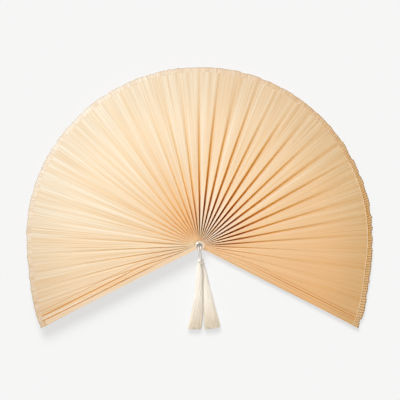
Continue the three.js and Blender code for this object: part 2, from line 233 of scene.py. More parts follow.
def add_piece(name, points, faces, finish, body, stands_for=None, uv=None, crease=40):
    """A mesh piece from points and faces, with its finish, its body and the CAD node that it stands for.

    The faces are turned outward where the volume that they enclose comes out negative. uv gives a pair a
    point, or one pair for all. Edges that bend by more than the crease are sharp.
    """
    faces = [np.asarray(face) for face in faces]
    corners = np.concatenate([[[f[0], f[k], f[k + 1]] for k in range(1, len(f) - 1)] for f in faces])
    a, b, c = (points[corners[:, k]] for k in range(3))
    if np.einsum("ij,ij->i", a, np.cross(b, c)).sum() < 0:
        faces = [face[::-1] for face in faces]
    mesh = bpy.data.meshes.new(name)
    mesh.from_pydata((np.asarray(points) * MM).tolist(), [], [face.tolist() for face in faces])
    if uv is not None:
        pairs = np.broadcast_to(np.asarray(uv, np.float32), (len(points), 2))[np.concatenate(faces)]
        mesh.uv_layers.new(name="UVMap").data.foreach_set("uv", pairs.ravel())
    mesh.polygons.foreach_set("use_smooth", np.ones(len(mesh.polygons), bool))
    mesh.set_sharp_from_angle(angle=math.radians(crease))
    mesh.materials.append(finishes[finish])
    piece = bpy.data.objects.new(name, mesh)
    bpy.context.scene.collection.objects.link(piece)
    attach(piece, body)
    if stands_for:
        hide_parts(stands_for)
    return piece


def smooth_path(points, steps):
    """A cubic curve through the points, with slopes taken from the neighbours by the roots of the chords."""
    points = np.asarray(points, float)
    knots = np.concatenate([[0], np.cumsum(np.sqrt(np.linalg.norm(np.diff(points, axis=0), axis=1)))])
    slopes = np.gradient(points, knots, axis=0)
    share = np.linspace(0, knots[-1], steps)
    i = np.clip(np.searchsorted(knots, share, side="right") - 1, 0, len(points) - 2)
    span = (knots[i + 1] - knots[i])[:, None]
    t = ((share - knots[i]) / span[:, 0])[:, None]
    start = (2 * t**3 - 3 * t**2 + 1) * points[i] + (t**3 - 2 * t**2 + t) * span * slopes[i]
    return start + (3 * t**2 - 2 * t**3) * points[i + 1] + (t**3 - t**2) * span * slopes[i + 1]


def tube(path, radius, sides, lobes=0, lobe_depth=0, lay=1):
    """Points and faces of a closed tube: a ring of sides carried along the path without twist.

    The first side starts square to the path and to a direction askew of every path. Lobes swell the radius in
    a spiral that turns once every lay, as the plies of a cord do.
    """
    path = np.asarray(path, float)
    along = np.gradient(path, axis=0)
    along /= np.linalg.norm(along, axis=1)[:, None]
    across = np.cross(along[0], ASKEW)
    frames = []
    for direction in along:
        across = across - direction * (across @ direction)
        across = across / np.linalg.norm(across)
        frames.append((across, np.cross(direction, across)))
    travelled = np.concatenate([[0], np.cumsum(np.linalg.norm(np.diff(path, axis=0), axis=1))])
    turn = 2 * np.pi * np.arange(sides) / sides
    swell = 1 + lobe_depth * np.cos(lobes * (turn[:, None] - 2 * np.pi * travelled[None, :] / lay))
    u, v = np.swapaxes(frames, 0, 1)
    ring = np.cos(turn)[:, None, None] * u[None] + np.sin(turn)[:, None, None] * v[None]
    points = path[None] + (swell * radius)[..., None] * ring
    return points.reshape(-1, 3), capped_faces(sides, len(path))


def cord_route(tassel):
    """The cord's points: up the rivet's bore, over the ring and down to the tassel, as in the CAD model.

    The falls give, for shares of the way out, the share of the drop from the ring's top to the head's height.
    """
    over = RING_TOP + CORD_RADIUS + CORD_GAP
    side = tassel["side"] * CORD_OFFSET
    lean = math.radians(tassel["lean"])
    out = HEAD_DISTANCE - CORD_GAP
    end = (math.sin(lean) * out, -math.cos(lean) * out, tassel["height"])
    drop = over - tassel["height"]
    bend = [(side + (end[0] - side) * s, end[1] * s, over - drop * f) for s, f in CORD_FALLS]
    return [(side, 0, CORD_FLOOR), (side, 0, RING_FLOOR / 2), (side, 0, RING_FLOOR), *bend, end]


def metres(lengths):
    """Lengths in millimetres as metres."""
    return [length * MM for length in lengths]


# Cotton yarn: warm white, soft and matt. It yellows a little towards the cut ends, and fine fibres break its
# light. The fibres are drawn coarser than real ones, so that they show.
FIBRE_SIZE = 1.111
FIBRE_DEPTH = 0.3
FIBRE_SHADES = (0.93, 1.03)
AGEING = (50, 83)
tree = new_finish("cotton_yarn")
place = add_node(tree, "ShaderNodeUVMap", uv_map="UVMap")
down = add_node(tree, "ShaderNodeSeparateXYZ", [place]).outputs["Y"]
within = add_node(tree, "ShaderNodeTexCoord").outputs["Object"]
fibres = add_node(tree, "ShaderNodeTexNoise", {"Vector": within, "Scale": 1 / (FIBRE_SIZE * MM), "Detail": 3})
ageing = add_node(tree, "ShaderNodeMapRange", [down, *metres(AGEING)])
aged = add_node(tree, "ShaderNodeMix", {0: ageing, 6: "#fdfbf4", 7: "#f3ecdc"}, data_type="RGBA")
shade = add_node(tree, "ShaderNodeMapRange", [fibres, 0, 1, *FIBRE_SHADES])
shaded = add_node(tree, "ShaderNodeMix", {0: 1, 6: aged, 7: shade}, data_type="RGBA", blend_type="MULTIPLY")
fuzz = add_node(tree, "ShaderNodeBump", {"Height": fibres, "Strength": 0.35, "Distance": FIBRE_DEPTH * MM})
looks = {"Base Color": shaded, "Roughness": 0.9, "Sheen Weight": 0.08, "Normal": fuzz}
yarn = add_node(tree, "ShaderNodeBsdfPrincipled", looks)
add_node(tree, "ShaderNodeOutputMaterial", {"Surface": yarn})

cords = {}
for side, tassel in TASSELS.items():
    path = smooth_path(cord_route(tassel), CORD_STEPS)
    points, faces = tube(path, CORD_RADIUS * CORD_FILL, CORD_SIDES, CORD_PLIES, CORD_PLY_DEPTH, CORD_LAY)
    names = (f"tassel_{side}", f"tassel_cord_{side}")
    cords[side] = (add_piece(f"cord_{side}", points, faces, "cotton_yarn", *names, (0, 0)), path)

# Tassel heads and skirts: a knob of wound cotton yarn, a neck bound with a few turns of thread, and a skirt of
# cut yarn that hangs straight at first and spreads at its ragged end.
KNOB_RADIUS = 2.7
KNOB_FILL = 0.96
KNOB_LENGTH = 4.6
KNOB_SIDES = 72
KNOB_RINGS = 25
KNOB_FALL = (0.0197, 0.985)
KNOB_WINDS = 9
KNOB_WIND_DEPTH = 0.05
KNOB_WIND_SLANT = 5
NECK_RADIUS = 2.1
NECK_LENGTH = 4.2
NECK_TURNS = 5
NECK_GAP = 0.15
NECK_STEPS = 24
THREAD_RADIUS = 0.34
THREAD_SIDES = 8
PIECE_GAP = 0.3
SKIRT_LENGTH = 80
SKIRT_SHOULDER = 4
SKIRT_TOP_HALF_WIDTH = 4
SKIRT_TOP_HALF_DEPTH = 2.9
SKIRT_END_HALF_DEPTH = 3.6
SPREAD_POWER = 1.35
STRANDS = 260
STRAND_RADIUS = 0.4
STRAND_SIDES = 5
STRAND_STEPS = 22
STRAND_START = 0.3
STRAND_CROWDING = 0.9
SWAY_POWER = 0.8
SWAY_DEPTH = 0.35
RAGGED = 2.6
# The least and the most of a yarn's wave, of its phase, of its sway and of the length that it has over.
STRAND_LOW = (4, 0, 0.15, -RAGGED / 2)
STRAND_HIGH = (9, 6.3, 0.75, RAGGED)
GOLDEN_ANGLE = math.pi * (3 - math.sqrt(5))
YARN_CREASE = 60
SEED = 7
random = np.random.default_rng(SEED)


def smoothstep(value, start, end):
    """Goes from 0 at the start to 1 at the end, level at both: three times the square less twice the cube."""
    share = np.clip((value - start) / (end - start), 0, 1)
    return share * share * (3 - 2 * share)


def hang(tassel, points):
    """Points of a tassel's own frame, whose line runs down -Y from 0: tilted, leaned and moved to its head."""
    lean = math.radians(tassel["lean"])
    turn = Euler((0, 0, lean)).to_matrix() @ Euler((math.radians(tassel["tilt"]), 0, 0)).to_matrix()
    head = np.array([math.sin(lean) * HEAD_DISTANCE, -math.cos(lean) * HEAD_DISTANCE, tassel["height"]])
    return np.asarray(points) @ np.array(turn).T + head


def knob_points():
    """A ball of wound yarn: an ellipsoid whose radius swells in slanting winds round its own line.

    It falls through most of half a turn, so that both ends are small flats.
    """
    turn = 2 * np.pi * np.arange(KNOB_SIDES)[:, None] / KNOB_SIDES
    fall = np.linspace(*KNOB_FALL, KNOB_RINGS)[None, :] * np.pi
    wind = 1 + KNOB_WIND_DEPTH * np.cos(KNOB_WINDS * turn + KNOB_WIND_SLANT * fall)
    radius = KNOB_RADIUS * KNOB_FILL * np.sin(fall) * wind
    down = KNOB_LENGTH * (1 - np.cos(fall)) / 2
    return np.stack([radius * np.cos(turn), -down + 0 * turn, radius * np.sin(turn)], axis=-1).reshape(-1, 3)


def collar_path():
    """The thread round the neck: an even helix, with its turns side by side about the neck's middle."""
    turns = np.linspace(0, NECK_TURNS, NECK_TURNS * NECK_STEPS + 1)
    wrap = NECK_RADIUS + THREAD_RADIUS + NECK_GAP
    start = KNOB_LENGTH + PIECE_GAP + NECK_LENGTH / 2 - NECK_TURNS * THREAD_RADIUS
    down = -start - 2 * THREAD_RADIUS * turns
    return np.stack([wrap * np.cos(2 * np.pi * turns), down, wrap * np.sin(2 * np.pi * turns)], axis=-1)


def strand_path(angle, share, wave, phase, size, length, tassel):
    """One yarn: out of the neck, over the shoulder and down, at its place in a section that widens to the end.

    The half width grows with a power of the way down, a slow wave moves the yarn off its line, and the skirt
    shifts to a side with the cube of the way.
    """
    start = KNOB_LENGTH + PIECE_GAP
    steps = np.linspace(0, 1, STRAND_STEPS) ** STRAND_CROWDING
    down = start + NECK_LENGTH * STRAND_START + (length + NECK_LENGTH * (1 - STRAND_START)) * steps
    past = np.maximum(down - start - NECK_LENGTH, 0)
    way = past / SKIRT_LENGTH
    shoulder = smoothstep(past, 0, SKIRT_SHOULDER)
    width = SKIRT_TOP_HALF_WIDTH + (tassel["end"] - SKIRT_TOP_HALF_WIDTH) * way**SPREAD_POWER
    depth = SKIRT_TOP_HALF_DEPTH + (SKIRT_END_HALF_DEPTH - SKIRT_TOP_HALF_DEPTH) * way
    sway = size * way**SWAY_POWER * np.sin(wave * way + phase)
    neck = (NECK_RADIUS - STRAND_RADIUS) * share
    x = (neck + ((width - STRAND_RADIUS) * share - neck) * shoulder) * math.cos(angle) + sway
    z = (neck + ((depth - STRAND_RADIUS) * share - neck) * shoulder) * math.sin(angle) + SWAY_DEPTH * sway
    limit = np.where(past > 0, depth, NECK_RADIUS) - STRAND_RADIUS
    return np.stack([x + tassel["shift"] * way**3, -down, np.clip(z, -limit, limit)], axis=-1)


def joined(pieces):
    """Points, faces and pairs of many small pieces as one."""
    points, faces, pairs, count = [], [], [], 0
    for some, shapes, uv in pieces:
        points.append(some)
        pairs.append(uv)
        faces += [np.asarray(face) + count for face in shapes]
        count += len(some)
    return np.concatenate(points), faces, np.concatenate(pairs)


for side, tassel in TASSELS.items():
    body = f"tassel_{side}"
    points, faces = hang(tassel, knob_points()), capped_faces(KNOB_SIDES, KNOB_RINGS)
    knob = add_piece(f"knob_{side}", points, faces, "cotton_yarn", body, f"tassel_knob_{side}", (0, 0))
    points, faces = tube(collar_path(), THREAD_RADIUS, THREAD_SIDES)
    points = hang(tassel, points)
    collar = add_piece(f"collar_{side}", points, faces, "cotton_yarn", body, f"tassel_collar_{side}", (0, 0))
    strands = []
    for number in range(STRANDS):
        share = math.sqrt((number + 0.5) / STRANDS)
        wave, phase, size, cut = random.uniform(STRAND_LOW, STRAND_HIGH)
        path = strand_path(number * GOLDEN_ANGLE, share, wave, phase, size, SKIRT_LENGTH + cut, tassel)
        points, faces = tube(hang(tassel, path), STRAND_RADIUS, STRAND_SIDES)
        down = np.tile(-path[:, 1], STRAND_SIDES) * MM
        strands.append((points, faces, np.stack([np.full(len(down), number / STRANDS), down], axis=-1)))
    points, faces, uv = joined(strands)
    add_piece(f"skirt_{side}", points, faces, "cotton_yarn", body, f"tassel_skirt_{side}", uv, YARN_CREASE)
    cord, path = cords[side]

# Sticks: thin ribs and two stout guards of split bamboo, shaved smooth and pinned on the rivet.
# Their shapes are the CAD model's own.
STICK_COUNT = 38
stick_names = ["guard_rear", *[f"rib_{rib:02d}" for rib in range(1, STICK_COUNT - 1)], "guard_front"]
stick_bodies = ["rear_guard", *stick_names[1:-1], "front_guard"]


def dress(node, finish):
    """Gives every slot of a CAD node one finish, or a first slot where it has none."""
    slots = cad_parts[node].data.materials
    if not slots:
        slots.append(finishes[finish])
    for index in range(len(slots)):
        slots[index] = finishes[finish]


def cells(sizes):
    """How often cells of these sizes in millimetres come in a metre: one over each size."""
    return [1 / size for size in metres(sizes)]


# Bamboo: honey coloured and dull, with fine straight fibres in two tones that run along the stick.
# A fibre's width is an arc at 1 m from the rivet: 2.4 mm there is 0.3 mm half way along a stick.
GRAIN_SIZES = (2.381, 40, 0.4)
GRAIN_DEPTH = 0.2
NOISE_RANGE = (0.3, 0.7)
tree = new_finish("bamboo")
place = add_node(tree, "ShaderNodeTexCoord").outputs["Object"]
x, y, z = add_node(tree, "ShaderNodeSeparateXYZ", [place]).outputs
turned = add_node(tree, "ShaderNodeMath", [y, x], operation="ARCTAN2")
reach = add_node(tree, "ShaderNodeVectorMath", [place], operation="LENGTH")
fan_place = add_node(tree, "ShaderNodeCombineXYZ", [turned, reach, z])
grain_place = add_node(tree, "ShaderNodeVectorMath", [fan_place, cells(GRAIN_SIZES)], operation="MULTIPLY")
grain = add_node(tree, "ShaderNodeTexNoise", {"Vector": grain_place, "Scale": 1, "Detail": 4})
tone = add_node(tree, "ShaderNodeMapRange", [grain, *NOISE_RANGE])
grained = add_node(tree, "ShaderNodeMix", {0: tone, 6: "#dcb988", 7: "#ecd3a8"}, data_type="RGBA")
ridges = add_node(tree, "ShaderNodeBump", {"Height": grain, "Strength": 0.25, "Distance": GRAIN_DEPTH * MM})
looks = {"Base Color": grained, "Roughness": 0.65, "Specular IOR Level": 0.15, "Normal": ridges}
stick_face = add_node(tree, "ShaderNodeBsdfPrincipled", looks)
add_node(tree, "ShaderNodeOutputMaterial", {"Surface": stick_face})
for name in [*stick_names, "spacer"]:
    dress(name, "bamboo")

# Leaf: very fine bamboo splints laid side by side and pleated like an accordion, glued along the sticks.
# Each pleat is a piece that rides on its stick.
OPEN_START = -26.6
OPEN_END = 206.6
CROWDING = 0.4
CROWDING_REACH = 2.5
REAR_GUARD_TOP = 3.12
FRONT_GUARD_FLOOR = 18.2
STICK_PITCH = 0.31
LEAF_INNER = 7
RIM = 229.4
DRAW_IN = 8.4
DRAW_IN_ANGLE = 96
FADE_ANGLE = 26
LEAF_THICKNESS = 0.3
LEAF_GAP = 0.3
OVERHANG = 3.8
RISER = 0.16
FALL = 0.27
NO_FOLD = -9
BAND_TILT = 0.25
TILT_END_STICKS = (16, 19)
DEPTH_RADII = (7, 11, 24, 40, 71, 110, 149, 190, 223)
DEPTHS = (0.1, 2, 8.5, 8.5, 4.6, 3, 2.1, 1, 0.4)
DEPTH_STICKS = (0, 4, 8, 17, 21, 24, 29, 32, 37)
DEPTH_SHARES = (0.12, 0.22, 0.75, 1, 0.26, 0.17, 0.14, 0.29, 0.42)
STEEP_STICKS = (29, 32)
STEEP_FALL = 0.12
CROWDED_DEPTH_POWER = 2
UNEVEN = 0.14
SEAT_WIDTHS = (5.5, 12)
SEAT_CLEARANCE = 0.6
BINDING_WIDTH = 5
RIM_DROOP = 2
DROOP_ANGLES = (10, 70)
DROOP_SHARES = (1, 0.2)
DROOP_CLEARANCE = 0.5
RISER_ROUNDING = 0.08
FALL_ROUNDING = 0.15
LEAF_CREASE = 30
LEAF_RINGS = 40
RING_CROWDING = 1.5
EDGE_SHARES = np.array([0.2, 0.4, 0.6, 0.8, 1])
ACROSS = np.array(
    [-1, -0.97, -0.93, -0.88, -0.82, -0.77, -0.73, -0.69, -0.62, -0.5, -0.25, 0]
    + [0.2, 0.34, 0.42, 0.48, 0.56, 0.66, 0.74, 0.8, 0.86, 0.91, 0.96, 1]
)
# Painted shade: a thin dark line along each valley's bottom, by stick.
LINE_SHADE_STICKS = (18, 21, 26, 31, 37)
LINE_SHADE_SHARES = (0, 0.5, 0.45, 0.15, 0.15)
# Painted shade by the rivet at the right, where the folds stand close: by stick and by radius.
NEAR_STICKS = (3, 8, 17, 20)
NEAR_WEIGHTS = (0, 1, 1, 0)
NEAR_RADII = (7, 14, 28, 45)
NEAR_SHARES = (0.3, 0.6, 0.35, 0)

gaps = np.minimum(np.arange(STICK_COUNT - 1), STICK_COUNT - 2 - np.arange(STICK_COUNT - 1))
weights = 1 - CROWDING * np.exp(-gaps / CROWDING_REACH)
openings = (OPEN_END - OPEN_START) * weights / weights.sum()
stick_angles = OPEN_START + np.concatenate([[0], np.cumsum(openings)])
valleys = np.arange(STICK_COUNT - 1) + 0.5
unevenness = 1 + UNEVEN * random.uniform(-1, 1, STICK_COUNT - 1)


def angle_at(place):
    """Degrees round the fan at a place, which is a stick's number with parts between two sticks."""
    below = np.clip(np.floor(place).astype(int), 0, STICK_COUNT - 2)
    return stick_angles[below] + openings[below] * (place - below)


def rim_radius(angle):
    """The rim is drawn in towards the sides and runs out again at the guards, by a square and a cosine."""
    away = np.abs(angle - (OPEN_START + OPEN_END) / 2)
    fade = np.clip((away - DRAW_IN_ANGLE) / FADE_ANGLE, 0, 1)
    return RIM - DRAW_IN * np.minimum(away / DRAW_IN_ANGLE, 1) ** 2 * np.cos(fade * np.pi / 2) ** 2


def folded(way, rounding):
    """A fold from 0 on the band to 1 in the valley: a straight slope that bends in over a rounding."""
    return (way + np.sqrt(way**2 + rounding**2)) / (1 + math.hypot(1, rounding))


def fold_depth(place, radius):
    """How far the folds lie below the bands: by the radius, the stick and how far its neighbours stand off."""
    opening = np.interp(place, valleys, openings)
    r = np.minimum(radius, rim_radius(angle_at(place)) - BINDING_WIDTH)
    depth = np.interp(r, DEPTH_RADII, DEPTHS) * np.interp(place, DEPTH_STICKS, DEPTH_SHARES)
    return depth * (opening / openings.max()) ** CROWDED_DEPTH_POWER * np.interp(place, valleys, unevenness)


def fold_share(place):
    """How far a place is down its fold: 0 on the band, 1 in the valley, by a steep riser and a gentler slope.

    The bands on the right lean a little into their slope, and the slope is steep at the left end. Past the
    first and the last stick there is no fold.
    """
    stick = np.round(place)
    off = place - np.clip(stick, 0, STICK_COUNT - 1)
    before, after = place < 0, place > STICK_COUNT - 1
    riser = folded(np.where(before, NO_FOLD, (RISER - 0.5 - off) / RISER), RISER_ROUNDING)
    width = FALL + (STEEP_FALL - FALL) * smoothstep(stick, *STEEP_STICKS)
    fall = folded(np.where(after, NO_FOLD, (off - 0.5 + width) / width), FALL_ROUNDING)
    lean = BAND_TILT * (1 - smoothstep(stick, *TILT_END_STICKS))
    lean = np.where(before | after, 0, lean * np.clip((off + 0.5 - RISER) / (1 - RISER), 0, 1))
    return np.where(off < RISER - 0.5, riser, np.maximum(fall + (1 - fall) * lean, riser))


def leaf_floor(place, radius):
    """Height of the leaf's underside: a band on each stick that ends in a steep riser and falls off behind.

    The sticks climb round the rivet, so the bands do. Near the rivet the leaf is lifted clear over the
    crowded sticks. The rim droops, but not so far that it would cut the rear guard when the fan is folded.
    The last pleat rises to the front guard.
    """
    opening = np.interp(place, valleys, openings)
    rim = rim_radius(angle_at(place))
    droop = RIM_DROOP * np.interp(angle_at(place), DROOP_ANGLES, DROOP_SHARES)
    droop = np.clip(STICK_PITCH * place + LEAF_GAP - DROOP_CLEARANCE, 0, droop)
    droop = droop * smoothstep(radius, rim - BINDING_WIDTH, rim)
    depth = fold_depth(place, radius)
    lift = (1 - smoothstep(radius * np.radians(opening), *SEAT_WIDTHS)) * (depth + SEAT_CLEARANCE)
    fall = fold_share(place)
    floor = REAR_GUARD_TOP + STICK_PITCH * place + LEAF_GAP + lift - depth * fall
    under_guard = FRONT_GUARD_FLOOR - LEAF_GAP - LEAF_THICKNESS
    return np.where(place > valleys[-1], floor + (under_guard - floor) * (1 - fall), floor) - droop


def turned_point(angle, radius, height):
    """Points at angles round the rivet, at radii and heights: the radius times the cosine and the sine."""
    angle = np.radians(angle)
    return np.stack([radius * np.cos(angle), radius * np.sin(angle), height + 0 * radius], axis=-1)


def pleat_places(stick, across):
    """Places over one pleat for shares from -1 to 1 across it: valley to valley, or past a guard at an end."""
    past = 2 * math.degrees(OVERHANG / RIM) / openings[0]
    before = past if stick == 0 else 1
    after = past if stick == STICK_COUNT - 1 else 1
    return stick + np.where(across < 0, across * before, across * after) / 2


def closed_sheet(lower, upper):
    """Points and faces of a thin closed sheet between two grids, with its border closed all round."""
    rows, columns = lower.shape[:2]
    quads = grid_faces(rows, columns)
    count = rows * columns
    number = np.arange(count).reshape(rows, columns)
    border = np.concatenate([number[0, :-1], number[:-1, -1], number[-1, :0:-1], number[:0:-1, 0]])
    after = np.roll(border, -1)
    sides = np.stack([border, after, after + count, border + count], axis=-1)
    points = np.concatenate([lower.reshape(-1, 3), upper.reshape(-1, 3)])
    return points, [*quads, *(quads[:, ::-1] + count), *sides[:, ::-1]]


def painted_fold_shade(place, radius):
    """The painted shade in a fold, from 0 to 1: by its depth, and a thin painted dark line along the valley's
    bottom.

    The line runs far out at the left. At the right it is only by the rivet, where the folds stand close.
    """
    line = np.interp(radius, DEPTH_RADII, DEPTHS) / max(DEPTHS) * np.interp(place, LINE_SHADE_STICKS, LINE_SHADE_SHARES)
    line = line + np.interp(radius, NEAR_RADII, NEAR_SHARES) * np.interp(place, NEAR_STICKS, NEAR_WEIGHTS)
    return fold_depth(place, radius) / max(DEPTHS) * fold_share(place) + line * fold_share(place) ** 2


def narrow(piece):
    """Gives a piece its own copy of its mesh."""
    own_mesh(piece)


# Splint leaf: pale straw with fine streaks along the splints, broad tones and a faint silky ridge on each.
# It is paler inside at the right and honey coloured inside at the left and at both ends. Near the rivet at the
# left the honey is partly the bamboo's own colour and partly painted warm light bounced between the close
# pleats. It is greyer towards the rim at the right, and painted brown shade darkens the folds. Arcs run along
# the rim from the right-hand horizontal, and radii from the rivet.
# The splints are drawn wider than real ones, so that they show.
SPLINT_SIZES = (1.923, 166.7, 1000)
SPLINT_DEPTH = 0.4
TONE_SIZES = (11.11, 250, 1000)
STREAK_RANGE = (0.25, 0.7)
LEFT_ARC = (340, 380)
PALE_RADII = (190, 30)
PALE_SHARE = 0.6
HONEY_RADII = (140, 20)
HONEY_ARC = (720, 500)
RIVET_RADII = (10, 28)
RIVET_SHARES = (0.35, 0.78)
LEFT_END_ARC = (720, 820)
LEFT_END_SHARE = 0.22
RIGHT_END_ARC = (140, -60)
RIGHT_END_SHARE = 0.4
GREY_RIM_RADII = (155, 223)
GREY_RIM_ARC = (220, 40)
# Painted shade in the folds: how far down a fold is fully shaded, and the radii over which its colour
# lightens.
DEEP_FOLD = 0.42
FOLD_RADII = (35, 80)
# Painted shade: thin dark lines along the guards, between the leaf's last folds where they are pressed flat,
# and one at the leaf's edge past the left guard as the shade beneath it. Distances from a guard's line, and
# how dark. The lines fade in over some radii.
LEFT_SHADE_LINES = ((-3.4, 0.4), (3.5, 0.9), (9.5, 0.9), (15.5, 0.35))
RIGHT_SHADE_LINES = ((3.2, 0.3), (6.8, 0.7), (10, 0.4))
SHADE_LINE_HALF_WIDTH = 0.6
SHADE_LINE_RADII = (40, 110)
tree = new_finish("splint_leaf")
place = add_node(tree, "ShaderNodeUVMap", uv_map="UVMap")
arc, reach, _ = add_node(tree, "ShaderNodeSeparateXYZ", [place]).outputs
splint_place = add_node(tree, "ShaderNodeVectorMath", [place, cells(SPLINT_SIZES)], operation="MULTIPLY")
splints = add_node(tree, "ShaderNodeTexNoise", {"Vector": splint_place, "Scale": 1, "Detail": 5})
streak = add_node(tree, "ShaderNodeMapRange", [splints, *STREAK_RANGE])
streaked = add_node(tree, "ShaderNodeMix", {0: streak, 6: "#dab883", 7: "#eddab0"}, data_type="RGBA")
tone_place = add_node(tree, "ShaderNodeVectorMath", [place, cells(TONE_SIZES)], operation="MULTIPLY")
broad = add_node(tree, "ShaderNodeTexNoise", {"Vector": tone_place, "Scale": 1, "Detail": 2})
tone = add_node(tree, "ShaderNodeMapRange", [broad, *NOISE_RANGE])
toned = add_node(tree, "ShaderNodeMix", {0: tone, 6: "#fbefe0", 7: "#ffffff"}, data_type="RGBA")
plain = add_node(tree, "ShaderNodeMix", {0: 1, 6: streaked, 7: toned}, data_type="RGBA", blend_type="MULTIPLY")
leftward = add_node(tree, "ShaderNodeMapRange", [arc, *metres(LEFT_ARC)])
inner_right = add_node(tree, "ShaderNodeMapRange", [arc, *metres(LEFT_ARC[::-1]), 0, PALE_SHARE])
paling = add_node(tree, "ShaderNodeMapRange", [reach, *metres(PALE_RADII)], interpolation_type="SMOOTHSTEP")
lightened = add_node(tree, "ShaderNodeMath", [paling, inner_right], operation="MULTIPLY")
straw = add_node(tree, "ShaderNodeMix", {0: lightened, 6: plain, 7: "#f2d5a4"}, data_type="RGBA")
# Inside near the rivet at the left the honey is partly the bamboo's own colour and partly painted warm bounced
# light.
inward = add_node(tree, "ShaderNodeMapRange", [reach, *metres(HONEY_RADII)], interpolation_type="SMOOTHSTEP")
fading = add_node(tree, "ShaderNodeMapRange", [arc, *metres(HONEY_ARC)])
left = add_node(tree, "ShaderNodeMath", [leftward, fading], operation="MULTIPLY")
off_rivet = add_node(tree, "ShaderNodeMapRange", [reach, *metres(RIVET_RADII), *RIVET_SHARES])
inner_left = add_node(tree, "ShaderNodeMath", [left, off_rivet], operation="MULTIPLY")
left_end = add_node(tree, "ShaderNodeMapRange", [arc, *metres(LEFT_END_ARC), 0, LEFT_END_SHARE])
right_end = add_node(tree, "ShaderNodeMapRange", [arc, *metres(RIGHT_END_ARC), 0, RIGHT_END_SHARE])
ends = add_node(tree, "ShaderNodeMath", [left_end, right_end], operation="ADD")
honey = add_node(tree, "ShaderNodeMath", [inward, inner_left, ends], operation="MULTIPLY_ADD")
honeyed = add_node(tree, "ShaderNodeMix", {0: honey, 6: straw, 7: "#e0a868"}, data_type="RGBA")
# Greyer towards the rim, and more so at the right.
outward = add_node(tree, "ShaderNodeMapRange", [reach, *metres(GREY_RIM_RADII)], interpolation_type="SMOOTHSTEP")
rightward = add_node(tree, "ShaderNodeMapRange", [arc, *metres(GREY_RIM_ARC)])
rim_greying = add_node(tree, "ShaderNodeMix", {0: rightward, 6: "#f5f5f5", 7: "#ebf2f4"}, data_type="RGBA")
colours = {0: outward, 6: honeyed, 7: rim_greying}
greyed_rim = add_node(tree, "ShaderNodeMix", colours, data_type="RGBA", blend_type="MULTIPLY")
# Painted shade: the folds are darkened to brown in the colour, where shade falls in them.
folds = add_node(tree, "ShaderNodeAttribute", attribute_name="fold").outputs["Fac"]
deep = add_node(tree, "ShaderNodeMapRange", [folds, 0, DEEP_FOLD], interpolation_type="SMOOTHSTEP")
opened = add_node(tree, "ShaderNodeMapRange", [reach, *metres(FOLD_RADII)])
right_fold_shade = add_node(tree, "ShaderNodeMix", {0: opened, 6: "#b85404", 7: "#d29238"}, data_type="RGBA")
fold_shade_colour = add_node(tree, "ShaderNodeMix", {0: leftward, 6: right_fold_shade, 7: "#e2a650"}, data_type="RGBA")
shaded = add_node(tree, "ShaderNodeMix", {0: deep, 6: greyed_rim, 7: fold_shade_colour}, data_type="RGBA")
turned = add_node(tree, "ShaderNodeMath", [arc, RIM * MM], operation="DIVIDE")
fade_in = add_node(tree, "ShaderNodeMapRange", [reach, *metres(SHADE_LINE_RADII)])
# Painted shade: thin dark lines along both guards.
crease = 0
for guard_angle, hand, shade_lines in ((OPEN_END, -1, LEFT_SHADE_LINES), (OPEN_START, 1, RIGHT_SHADE_LINES)):
    off_guard = add_node(tree, "ShaderNodeMath", [turned, math.radians(guard_angle)], operation="SUBTRACT")
    beside = add_node(tree, "ShaderNodeMath", [off_guard, reach], operation="MULTIPLY")
    for distance, strength in shade_lines:
        span = [beside, hand * distance * MM, SHADE_LINE_HALF_WIDTH * MM]
        line = add_node(tree, "ShaderNodeMath", span, operation="COMPARE")
        faded = add_node(tree, "ShaderNodeMath", [fade_in, strength], operation="MULTIPLY")
        crease = add_node(tree, "ShaderNodeMath", [line, faded, crease], operation="MULTIPLY_ADD")
line_shaded = add_node(tree, "ShaderNodeMix", {0: crease, 6: shaded, 7: "#c07414"}, data_type="RGBA")
silk = add_node(tree, "ShaderNodeBump", {"Height": splints, "Strength": 0.3, "Distance": SPLINT_DEPTH * MM})
looks = {"Base Color": line_shaded, "Roughness": 0.55, "Specular IOR Level": 0.05, "Normal": silk}
leaf_face = add_node(tree, "ShaderNodeBsdfPrincipled", looks)
add_node(tree, "ShaderNodeOutputMaterial", {"Surface": leaf_face})

pleats = []
for stick in range(STICK_COUNT):
    across = pleat_places(stick, ACROSS)
    angle = angle_at(across)
    bound = rim_radius(angle) - BINDING_WIDTH
    share = np.linspace(0, 1, LEAF_RINGS) ** RING_CROWDING
    radius = LEAF_INNER + (bound - LEAF_INNER)[:, None] * share[None, :]
    radius = np.concatenate([radius, bound[:, None] + BINDING_WIDTH * EDGE_SHARES[None, :]], axis=1)
    wide = np.broadcast_to(across[:, None], radius.shape)
    lower = turned_point(angle[:, None], radius, leaf_floor(wide, radius))
    points, faces = closed_sheet(lower, lower + (0, 0, LEAF_THICKNESS))
    flat = np.stack([np.radians(angle)[:, None] * RIM + 0 * radius, radius], axis=-1).reshape(-1, 2) * MM
    uv = np.concatenate([flat, flat])
    body = stick_bodies[stick]
    pleat = add_piece(f"pleat_{stick:02d}", points, faces, "splint_leaf", body, "leaf", uv, LEAF_CREASE)
    # Each point's share of the painted fold shade, kept as an attribute for the leaf's colour.
    fold = np.tile(painted_fold_shade(wide, radius).ravel(), 2).astype(np.float32)
    pleat.data.attributes.new("fold", "FLOAT", "POINT").data.foreach_set("value", fold)
    narrow(pleat)
    widths = np.linalg.norm(np.diff(lower, axis=0), axis=-1).sum(0)
    area = float(((widths[1:] + widths[:-1]) / 2 * np.diff(radius.mean(0))).sum()) * MM**2
    pleats.append((pleat, float(widths.max()) * MM, float(radius.max() - LEAF_INNER) * MM, area))

